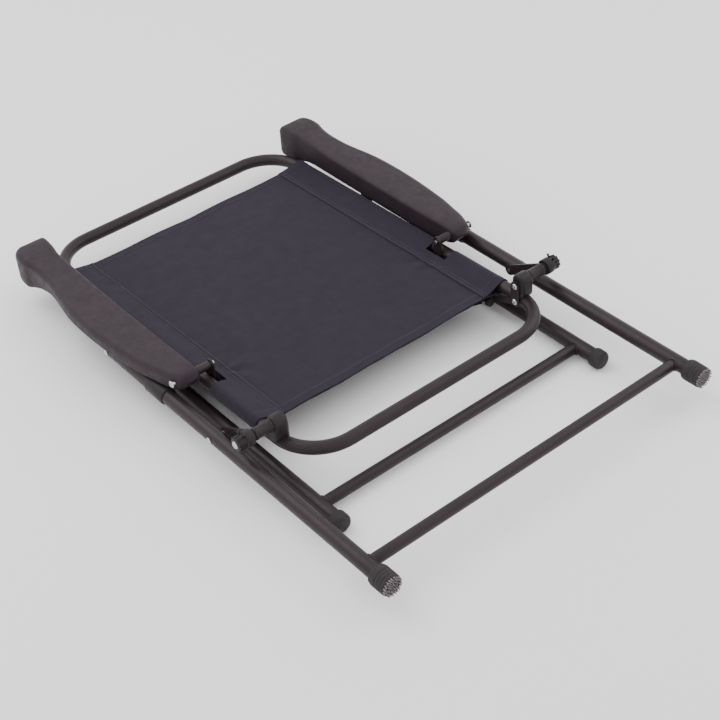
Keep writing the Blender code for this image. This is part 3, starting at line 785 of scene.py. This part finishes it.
def stud_tree(finish):
    """Short cones scattered evenly over the guide's face, pointing out of it."""
    tree, given, result = new_tree("foot_studs", Spacing="Float", Width="Float", Seed="Int")
    scatter = {
        "Mesh": given.outputs["Geometry"],
        "Distance Min": given.outputs["Spacing"],
        "Density Max": 900000.0,
        "Seed": given.outputs["Seed"],
    }
    points = add(tree, "GeometryNodeDistributePointsOnFaces", scatter, distribute_method="POISSON")
    cone = {"Vertices": 8, "Side Segments": 1, "Radius Top": 0.32, "Radius Bottom": 0.5, "Depth": 1.3}
    stud = add(tree, "GeometryNodeMeshCone", cone)
    size = add(tree, "ShaderNodeCombineXYZ", {axis: given.outputs["Width"] for axis in "XYZ"})
    laid = {
        "Points": points.outputs["Points"],
        "Instance": stud.outputs["Mesh"],
        "Rotation": points.outputs["Rotation"],
        "Scale": size.outputs["Vector"],
    }
    return end_tree(tree, laid, result, finish)


def stitch_line(shape, points):
    verts = [shape.verts.new(point) for point in points]
    for first, second in zip(verts, verts[1:]):
        shape.edges.new((first, second))


def seam_lines(sling):
    """Guide lines on the cloth: two along each flap and one along each hem."""
    shape = bmesh.new()
    lift = sizes().cloth * 0.62
    span = sling.end - sling.start
    for side, _ in SIDES:
        for inset in (0.0035, 0.0095):
            q = sling.half - inset
            shares = [0.012 + 0.976 * i / 140 for i in range(141)]
            stitch_line(shape, [sling.point(side, q, share, lift * 1.45) for share in shares])
    reach = sling.section(sling.half)[0] - 0.004
    for share in ((sizes().hem - 0.003) / span, 1 - (sizes().hem - 0.003) / span):
        steps = [-reach + 2 * reach * i / 120 for i in range(121)]
        points = [sling.point(-1 if x < 0 else 1, abs(x), share, lift * 1.6) for x in steps]
        stitch_line(shape, points)
    return shape


class CHAIR_OT_stitching(bpy.types.Operator):
    """Rows of stitches along the flaps and hems of both slings"""

    bl_idname = "chair.stitching"
    bl_label = "Stitching"

    def execute(self, context):
        tree = stitch_tree(thread())
        spacing = sizes().stitch
        values = {"Spacing": spacing, "Size": (0.00042, 0.00042, spacing * 0.36)}
        for name, sling, body in (("back", back_cloth(), "back"), ("seat", seat_cloth(), "seat")):
            grow(f"{name}_sling_stitches", seam_lines(sling), tree, values, thread(), body)
        return {"FINISHED"}


# Feet, collars and studs


def on_leg(node, from_top=False):
    """(start, radius, length) of a part turned about a leg, from its node's box."""
    low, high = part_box(node)
    start = Vector(((low.x + high.x) / 2, high.y if from_top else low.y, (low.z + high.z) / 2))
    return start, (high.z - low.z) / 2, high.y - low.y


def on_axle(node):
    """(start, radius, length) of a part turned about an axle, from its inner end."""
    low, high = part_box(node)
    near, far = sorted((low.x, high.x), key=abs)
    return Vector((near, (low.y + high.y) / 2, (low.z + high.z) / 2)), (high.z - low.z) / 2, abs(far - near)


class CHAIR_OT_feet(bpy.types.Operator):
    """Rubber feet, front leg caps, leg collars and the studs on the rear feet"""

    bl_idname = "chair.feet"
    bl_label = "Feet and collars"

    def execute(self, context):
        tree = stud_tree(scuffed_stud())
        for index, (_, hand) in enumerate(SIDES):
            self.rear_foot(hand, tree, index)
            self.front_cap(f"front_foot_{hand}")
            self.front_cap(f"front_leg_cap_{hand}", from_top=True)
            self.collar(hand)
        return {"FINISHED"}

    def rear_foot(self, hand, tree, index):
        face, radius, length = on_leg(f"rear_foot_{hand}")
        profile = [(0, 0.0006), (radius * 0.9, 0.0006), (radius * 0.98, 0.002)]
        for i in range(3):
            groove = 0.0068 + 0.0058 * i
            profile += [(radius, groove - 0.0016), (radius * 0.95, groove - 0.0008)]
            profile += [(radius * 0.95, groove + 0.0008), (radius, groove + 0.0016)]
        profile += [(radius, length - 0.006), (radius * 0.93, length - 0.001)]
        profile += [(radius * 0.76, length), (0, length)]
        shape = lathe(bmesh.new(), face, ALONG, profile)
        name = f"rear_foot_rubber_{hand}"
        piece(name, shape, rubber(), "rear_legs", (f"rear_foot_{hand}",), bevel=0.0003)
        disc = bmesh.new()
        turn = (-ALONG).to_track_quat("Z", "Y").to_matrix().to_4x4()
        placed = Matrix.Translation(face + ALONG * 0.0004) @ turn
        bmesh.ops.create_circle(disc, cap_ends=True, segments=40, radius=radius * 0.9, matrix=placed)
        values = {"Spacing": sizes().stud * 1.15, "Width": sizes().stud, "Seed": 3 + index}
        grow(f"rear_foot_studs_{hand}", disc, tree, values, scuffed_stud(), "rear_legs")

    def front_cap(self, node, from_top=False):
        face, radius, length = on_leg(node, from_top)
        profile = [(0, 0), (radius * 0.4, length * 0.014), (radius * 0.68, length * 0.064)]
        profile += [(radius * 0.88, length * 0.155), (radius * 0.975, length * 0.27)]
        profile += [(radius, length * 0.41), (radius, length - 0.003)]
        profile += [(radius * 0.96, length - 0.0008), (radius * 0.79, length), (0, length)]
        shape = lathe(bmesh.new(), face, -ALONG if from_top else ALONG, profile)
        piece(f"{node}_rubber", shape, rubber(), "front_legs", (node,))

    def collar(self, hand):
        start, radius, length = on_leg(f"leg_collar_{hand}")
        profile = [(0, 0), (radius * 0.87, 0), (radius * 0.96, 0.0005), (radius, 0.0022)]
        profile += [(radius, length - 0.0022), (radius * 0.96, length - 0.0005)]
        profile += [(radius * 0.87, length), (0, length)]
        shape = lathe(bmesh.new(), start, ALONG, profile)
        name = f"leg_collar_ring_{hand}"
        piece(name, shape, hinge_moulding(), "rear_legs", (f"leg_collar_{hand}",))


# Armrests

SKIRT_X = 0.2732  # outer face of the skirt
ARM_CROWN = 0.002  # how far the top falls at its edges
ARM_END = 0.009  # length over which each end is rounded off
# station, inner edge, outer edge, foot of the inner skirt, underside, top
ARM_SECTIONS = (
    (0.499, 0.2650, 0.296, 0.0234, 0.0240, 0.0400),
    (0.506, 0.2650, 0.303, 0.0180, 0.0190, 0.0450),
    (0.530, 0.2650, 0.313, 0.0100, 0.0158, 0.0470),
    (0.560, 0.2650, 0.320, 0.0040, 0.0158, 0.0465),
    (0.600, 0.2650, 0.328, 0.0030, 0.0158, 0.0455),
    (0.690, 0.2650, 0.336, 0.0030, 0.0158, 0.0450),
    (0.780, 0.2650, 0.335, 0.0030, 0.0158, 0.0455),
    (0.860, 0.2650, 0.322, 0.0030, 0.0160, 0.0475),
    (0.905, 0.2650, 0.319, 0.0020, 0.0060, 0.0500),
    (0.930, 0.2646, 0.321, -0.0040, -0.0020, 0.0520),
    (0.950, 0.2612, 0.325, -0.0088, -0.0080, 0.0535),
    (0.980, 0.2585, 0.321, -0.0088, -0.0080, 0.0530),
    (0.993, 0.2585, 0.311, -0.0008, 0.0000, 0.0470),
)


def through(station, column):
    """A smooth value at a station from the armrest's sections."""
    rows = ARM_SECTIONS
    i = next((k for k in range(len(rows) - 1) if station <= rows[k + 1][0]), len(rows) - 2)
    before, first, second, after = rows[max(i - 1, 0)], rows[i], rows[i + 1], rows[min(i + 2, len(rows) - 1)]
    span = second[0] - first[0]
    t = (station - first[0]) / span
    leave = (second[column] - before[column]) / (second[0] - before[0]) * span
    arrive = (after[column] - first[column]) / (after[0] - first[0]) * span
    rise = second[column] - first[column]
    if rise == 0:
        leave = arrive = 0
    return first[column] + rise * eased(t) + leave * t * (1 - t) ** 2 - arrive * t * t * (1 - t)


class CHAIR_OT_armrests(bpy.types.Operator):
    """The two moulded armrests, crowned on top and thick at the nose"""

    bl_idname = "chair.armrests"
    bl_label = "Armrests"

    def execute(self, context):
        for side, hand in SIDES:
            shape = bmesh.new()
            first, last = first_and_last(f"armrest_{hand}")
            rings = [self.ring(shape, side, first, last, s) for s in self.stations(first, last)]
            skin(shape, rings)
            name, replaced = f"armrest_moulding_{hand}", (f"armrest_{hand}",)
            piece(name, shape, armrest_moulding(), "armrests", replaced, sharp_deg=70)
        return {"FINISHED"}

    def stations(self, first, last):
        """Close together at both rounded ends, even between."""
        ends = [ARM_END * (1 - math.cos(math.radians(9 * i))) for i in range(1, 11)]
        straight = last - first - 2 * ARM_END
        body = [first + ARM_END + straight * i / 120 for i in range(1, 120)]
        return [first + 0.00005, *(first + e for e in ends), *body, *(last - e for e in reversed(ends)), last]

    def ring(self, shape, side, first, last, station):
        """One section, drawn in towards its middle near the two rounded ends."""
        inner, outer, foot, low, high = (through(station, column) for column in range(1, 6))
        near = min(station - first, last - station)
        inset = 0.0
        if near < ARM_END:
            inset = min(ARM_END - math.sqrt(max(ARM_END**2 - (ARM_END - near) ** 2, 0.0)), ARM_END * 0.8)
        wide, tall = min(0.013, (outer - inner) * 0.4), min(0.012, (high - low) * 0.42)
        points = []
        corners = (
            (outer - wide, high - tall, wide, tall, 0),
            (inner + 0.007, high - 0.007, 0.007, 0.007, 90),
            (inner + 0.0028, foot + 0.0028, 0.0028, 0.0028, 180),
        )
        for cx, cz, a, b, start in corners:
            for k in range(9):
                angle = math.radians(start + 90 * k / 8)
                points.append((cx + a * math.cos(angle), cz + b * math.sin(angle)))
        points += [(SKIRT_X - 0.0012, foot), (SKIRT_X, foot + (low - foot) * 0.3), (SKIRT_X, low)]
        points += arc((outer - 0.006, low + 0.006), 0.006, 270, 360, 8)
        centre = Vector(((outer + inner) / 2, (low + high) / 2))
        placed = []
        for x, z in points:
            if z > centre.y:
                z -= ARM_CROWN * ((x - centre.x) / ((outer - inner) / 2)) ** 2
            reach = Vector((x, z)) - centre
            reach *= max(0.0, 1 - inset / max(reach.length, 0.0001))
            placed.append(shape.verts.new(at(side * (centre.x + reach.x), station, centre.y + reach.y)))
        return placed


# Hinges at the back's lower end

BARREL_ROUND = 0.0048
HUB_TEETH = 10
TOOTH = (0.0036, 0.0022, 0.0082)  # across, standing and along
TAB = (0.0026, 0.0092, 0.0030)


class CHAIR_OT_hinges(bpy.types.Operator):
    """Barrels, axle sleeves and hubs at the back's lower end"""

    bl_idname = "chair.hinges"
    bl_label = "Hinge mouldings"

    def execute(self, context):
        for side, hand in SIDES:
            self.barrel(hand)
            self.sleeve(side, hand)
            self.hub(side, hand)
        return {"FINISHED"}

    def barrel(self, hand):
        low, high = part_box(f"axle_barrel_{hand}")
        axle = middle(f"stub_axle_{hand}")
        radius = (high.y - low.y) / 2
        foot_z = low.z + radius
        outline = arc((axle.y, axle.z), radius, 0, 180, 20) + arc((axle.y, foot_z), radius, 180, 360, 20)
        shape = bmesh.new()
        skin(shape, [[shape.verts.new((x, y, z)) for y, z in outline] for x in (low.x, high.x)])
        name, replaced = f"axle_barrel_moulding_{hand}", (f"axle_barrel_{hand}",)
        piece(name, shape, hinge_moulding(), "back", replaced, BARREL_ROUND, 50)

    def sleeve(self, side, hand):
        start, radius, length = on_axle(f"axle_sleeve_{hand}")
        tip = radius * 0.9
        profile = [(0, 0), (radius, 0), (radius, 0.004), (radius * 0.93, 0.0046), (tip, length - 0.006)]
        profile += [(tip * 1.05, length - 0.0052), (tip * 1.05, length - 0.0014)]
        profile += [(tip * 0.95, length), (0, length)]
        shape = lathe(bmesh.new(), start, Vector((side, 0, 0)), profile, 20)
        name, replaced = f"axle_sleeve_moulding_{hand}", (f"axle_sleeve_{hand}",)
        piece(name, shape, hinge_moulding(), "back", replaced, 0.0003)

    def hub(self, side, hand):
        start, radius, length = on_axle(f"link_hub_{hand}")
        outward = Vector((side, 0, 0))
        neck, step = radius * 0.85, length * 0.46
        profile = [(0, 0), (radius * 0.96, 0), (radius, 0.0008), (radius, step), (neck, step + 0.0006)]
        profile += [(neck, length - 0.004), (neck * 0.9, length - 0.0008), (neck * 0.82, length), (0, length)]
        shape = lathe(bmesh.new(), start, outward, profile)
        for i in range(HUB_TEETH):
            angle = 2 * math.pi * i / HUB_TEETH
            self.block(shape, start, outward, length - 0.0052, neck - 0.0002, angle, TOOTH)
        for lean in (-24, 24):
            angle = math.radians(90 + lean)
            self.block(shape, start, outward, step + 0.003, radius + 0.0005, angle, TAB)
        name, replaced = f"link_hub_moulding_{hand}", (f"link_hub_{hand}",)
        piece(name, shape, hinge_moulding(), "swing_links", replaced, 0.0004)

    def block(self, shape, start, run, distance, radius, angle, size):
        """A small block standing out from the axis that runs from start."""
        out = Vector((0, math.cos(angle), math.sin(angle)))
        centre = start + run * distance + out * radius
        across = out.cross(run)
        turn = Matrix((across, out, run)).transposed().to_4x4()
        scale = Matrix.Diagonal((*size, 1))
        bmesh.ops.create_cube(shape, size=1, matrix=Matrix.Translation(centre) @ turn @ scale)


# Rivets and bolts


class CHAIR_OT_fasteners(bpy.types.Operator):
    """Rivets, pins and bolts, turned with rolled heads"""

    bl_idname = "chair.fasteners"
    bl_label = "Rivets and bolts"

    def execute(self, context):
        groups = {
            "rear_legs": ("link_pin", "armrest_pin"),
            "armrests": ("armrest_bolt",),
            "swing_links": ("hub_rivet",),
            "front_legs": ("front_leg_pin", "seat_front_pin"),
            "seat": ("seat_rear_pin",),
        }
        for body, stems in groups.items():
            for stem in stems:
                for side, hand in SIDES:
                    self.fastener(f"{stem}_{hand}", side, body)
        for side, hand in SIDES:
            for level in ("lower", "upper"):
                self.fastener(f"bracket_rivet_{level}_{hand}", -side, "back")
            self.fastener(f"stub_axle_{hand}", side, "back", headed=False)
            self.spacer(side, hand)
        return {"FINISHED"}

    def spacer(self, side, hand):
        """The dark tube round an armrest's bolt, between the armrest and the back's ear."""
        ear_low, ear_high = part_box(f"back_ear_{hand}")
        bolt = middle(f"armrest_bolt_{hand}")
        near = max(abs(ear_low.x), abs(ear_high.x)) + 0.0003
        far = min(abs(corner.x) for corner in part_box(f"armrest_{hand}")) + 0.007
        length = far - near
        profile = [(0, 0), (0.0066, 0), (0.0072, 0.0008), (0.0072, length), (0, length)]
        shape = lathe(bmesh.new(), Vector((side * near, bolt.y, bolt.z)), Vector((side, 0, 0)), profile)
        piece(f"armrest_bolt_spacer_{hand}", shape, powder_coat(), "armrests")

    def fastener(self, node, side, body, headed=True):
        low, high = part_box(node)
        head, tail = (high.x, low.x) if side > 0 else (low.x, high.x)
        length, radius = abs(head - tail), (high.z - low.z) / 2
        centre = middle(node)
        start = Vector((head, centre.y, centre.z))
        if headed:
            shank = radius * 0.56
            # a rolled rim round a shallow dimple, as a semi-tubular rivet is set
            profile = [(0, 0.0009), (radius * 0.26, 0.0007), (radius * 0.42, 0.0001), (radius * 0.62, 0.0)]
            profile += [(radius * 0.86, 0.0006), (radius, 0.0018), (radius * 0.98, 0.0023), (shank, 0.0025)]
            profile += [(shank, length), (0, length)]
        else:
            profile = [(0, 0), (radius, 0.0004), (radius, length), (0, length)]
        shape = lathe(bmesh.new(), start, Vector((-side, 0, 0)), profile, 32)
        piece(f"{node}_turned", shape, zinc_plate(), body, (node,))


class CHAIR_OT_plates(bpy.types.Operator):
    """Finish for the plates, ears, links and brackets that keep their frame shapes"""

    bl_idname = "chair.plates"
    bl_label = "Plates and links"

    def execute(self, context):
        for node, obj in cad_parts.items():
            if obj.hide_render:
                continue
            obj.data.materials.clear()
            obj.data.materials.append(powder_coat())
        return {"FINISHED"}


# Stage

CAMERA_HEIGHT = 1.515  # above the rear legs' axes


class CHAIR_OT_stage(bpy.types.Operator):
    """Pale floor, soft lights and the camera"""

    bl_idname = "chair.stage"
    bl_label = "Stage"

    def execute(self, context):
        self.floor()
        self.world()
        self.soft_light("key_light", (-1.0, 1.6, 2.6), 2.4, 42)
        self.soft_light("side_light", (2.0, -0.8, 2.0), 1.8, 16)
        self.camera()
        return {"FINISHED"}

    def floor(self):
        shape = bmesh.new()
        bmesh.ops.create_grid(shape, x_segments=1, y_segments=1, size=9)

        def paint(tree, shader, where):
            tone, rough = patches(tree, where, 900, 0.99, 1.0), patches(tree, where, 60, 0.78, 0.82)
            return tone, rough, patches(tree, where, 2, 0, 1), 0.00001

        floor = linked("studio_floor", meshed("studio_floor", shape))
        floor.data.materials.append(finished("matt_studio_paper", colours().floor, paint))

    def world(self):
        world = bpy.data.worlds.new("soft_studio")
        world.use_nodes = True
        background = world.node_tree.nodes["Background"]
        background.inputs["Color"].default_value = linear("#ffffff")
        background.inputs["Strength"].default_value = 1.5
        bpy.context.scene.world = world

    def soft_light(self, name, place, size, power):
        data = bpy.data.lights.new(name, "AREA")
        data.size, data.energy = size, power
        light = linked(name, data)
        light.location = place
        light.rotation_euler = (-Vector(place)).to_track_quat("-Z", "Y").to_euler()

    def camera(self):
        data = bpy.data.cameras.new("camera")
        data.lens, data.sensor_width = 75.66, 36
        camera = linked("camera", data)
        camera.location = at(-0.7637 * CAMERA_HEIGHT, -0.7248 * CAMERA_HEIGHT, CAMERA_HEIGHT)
        camera.rotation_euler = (math.radians(50.77), math.radians(3.35), math.radians(-39.63))
        bpy.context.scene.camera = camera


# Panel and registration

OPERATORS = (
    CHAIR_OT_tubes,
    CHAIR_OT_hoop,
    CHAIR_OT_slings,
    CHAIR_OT_stitching,
    CHAIR_OT_feet,
    CHAIR_OT_armrests,
    CHAIR_OT_hinges,
    CHAIR_OT_fasteners,
    CHAIR_OT_plates,
    CHAIR_OT_stage,
)


class CHAIR_PT_panel(bpy.types.Panel):
    """Sidebar panel with the chair's sizes, colours and building steps"""

    bl_idname = "CHAIR_PT_panel"
    bl_label = "Camp chair"
    bl_space_type = "VIEW_3D"
    bl_region_type = "UI"
    bl_category = "Camp chair"

    def draw(self, context):
        for group in (context.scene.chair_sizes, context.scene.chair_colours):
            for name in group.__annotations__:
                self.layout.prop(group, name)
        for operator in OPERATORS:
            self.layout.operator(operator.bl_idname)


CLASSES = (ChairSizes, ChairColours, *OPERATORS, CHAIR_PT_panel)


def register():
    for made in CLASSES:
        bpy.utils.register_class(made)
    bpy.types.Scene.chair_sizes = bpy.props.PointerProperty(type=ChairSizes)
    bpy.types.Scene.chair_colours = bpy.props.PointerProperty(type=ChairColours)


def unregister():
    del bpy.types.Scene.chair_colours
    del bpy.types.Scene.chair_sizes
    for made in reversed(CLASSES):
        bpy.utils.unregister_class(made)


def main():
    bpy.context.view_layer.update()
    register()
    for operator in OPERATORS:
        group, name = operator.bl_idname.split(".")
        getattr(getattr(bpy.ops, group), name)()
    bpy.context.view_layer.update()


if __name__ == "__main__":
    main()
